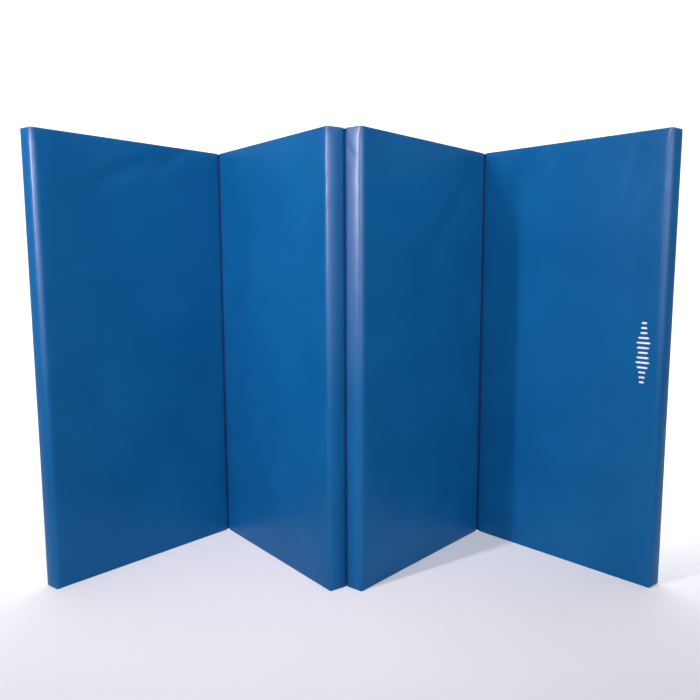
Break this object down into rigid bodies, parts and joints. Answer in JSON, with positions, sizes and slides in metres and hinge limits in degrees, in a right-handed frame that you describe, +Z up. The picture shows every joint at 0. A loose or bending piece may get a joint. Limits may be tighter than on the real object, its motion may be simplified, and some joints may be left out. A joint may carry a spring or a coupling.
{
  "type": "folding gym mat",
  "caption": "Folding gym mat of foam panels in blue vinyl covers, joined by sewn folds, standing on edge in a zigzag.",
  "frame": {"origin": "the middle of the mat's footprint, on the surface that it stands on", "axes": "+Z up along the upright panels, +X from panel 1's free end to panel 4's, -Y towards the front, where the middle fold's ends are"},
  "size_m": [1.6892, 0.5182, 1.22],
  "materials": {
    "cover_vinyl": "satin",
    "gusset_vinyl": "satin",
    "strip_vinyl": "satin",
    "core_foam": "matte",
    "zip_tape": "matte",
    "zip_coil": "satin",
    "zip_stop": "satin",
    "zip_slider": "satin",
    "eyelet": "polished"
  },
  "bodies": {
    "panel_1": {"panel_1_foam_core": "core_foam", "panel_1_front_cover": "cover_vinyl", "panel_1_back_cover": "cover_vinyl", "panel_1_top_gusset": "gusset_vinyl", "panel_1_bottom_gusset": "gusset_vinyl", "panel_1_zip_tape": "zip_tape", "panel_1_zip_coil": "zip_coil", "panel_1_zip_stops": "zip_stop", "panel_1_eyelets": "eyelet", "panel_1_eyelet_washers": "eyelet", "fold_1_strip_left": "strip_vinyl"},
    "panel_2": {"panel_2_foam_core": "core_foam", "panel_2_front_cover": "cover_vinyl", "panel_2_back_cover": "cover_vinyl", "panel_2_top_gusset": "gusset_vinyl", "panel_2_bottom_gusset": "gusset_vinyl", "panel_2_zip_tape": "zip_tape", "panel_2_zip_coil": "zip_coil", "panel_2_zip_stops": "zip_stop", "panel_2_eyelets": "eyelet", "panel_2_eyelet_washers": "eyelet", "fold_2_strip_left": "strip_vinyl", "fold_1_strip_right": "strip_vinyl"},
    "panel_3": {"panel_3_foam_core": "core_foam", "panel_3_front_cover": "cover_vinyl", "panel_3_back_cover": "cover_vinyl", "panel_3_top_gusset": "gusset_vinyl", "panel_3_bottom_gusset": "gusset_vinyl", "panel_3_zip_tape": "zip_tape", "panel_3_zip_coil": "zip_coil", "panel_3_zip_stops": "zip_stop", "panel_3_eyelets": "eyelet", "panel_3_eyelet_washers": "eyelet", "fold_3_strip_left": "strip_vinyl", "fold_2_strip_right": "strip_vinyl"},
    "panel_4": {"panel_4_foam_core": "core_foam", "panel_4_front_cover": "cover_vinyl", "panel_4_back_cover": "cover_vinyl", "panel_4_top_gusset": "gusset_vinyl", "panel_4_bottom_gusset": "gusset_vinyl", "panel_4_zip_tape": "zip_tape", "panel_4_zip_coil": "zip_coil", "panel_4_zip_stops": "zip_stop", "panel_4_eyelets": "eyelet", "panel_4_eyelet_washers": "eyelet", "fold_3_strip_right": "strip_vinyl"},
    "slider_1": {"panel_1_zip_slider": "zip_slider"},
    "slider_2": {"panel_2_zip_slider": "zip_slider"},
    "slider_3": {"panel_3_zip_slider": "zip_slider"},
    "slider_4": {"panel_4_zip_slider": "zip_slider"}
  },
  "joints": [
    {"name": "fold_1", "type": "hinge", "parent": "panel_2", "child": "panel_1", "pos_m": [-0.41783, 0.23353, 0], "axis": [0, 0, 1], "range_deg": [-105, 75]},
    {"name": "fold_2", "type": "hinge", "parent": "panel_2", "child": "panel_3", "pos_m": [-0.01958, -0.23353, 0], "axis": [0, 0, 1], "range_deg": [-105, 75]},
    {"name": "fold_3", "type": "hinge", "parent": "panel_3", "child": "panel_4", "pos_m": [0.41027, 0.20461, 0], "axis": [0, 0, 1], "range_deg": [-80, 100]},
    {"name": "zip_1", "type": "slide", "parent": "panel_1", "child": "slider_1", "axis": [0, 0, 1], "range_m": [0, 1.0938]},
    {"name": "zip_2", "type": "slide", "parent": "panel_2", "child": "slider_2", "axis": [0, 0, 1], "range_m": [0, 1.0938]},
    {"name": "zip_3", "type": "slide", "parent": "panel_3", "child": "slider_3", "axis": [0, 0, 1], "range_m": [0, 1.0938]},
    {"name": "zip_4", "type": "slide", "parent": "panel_4", "child": "slider_4", "axis": [0, 0, 1], "range_m": [0, 1.0938]}
  ]
}
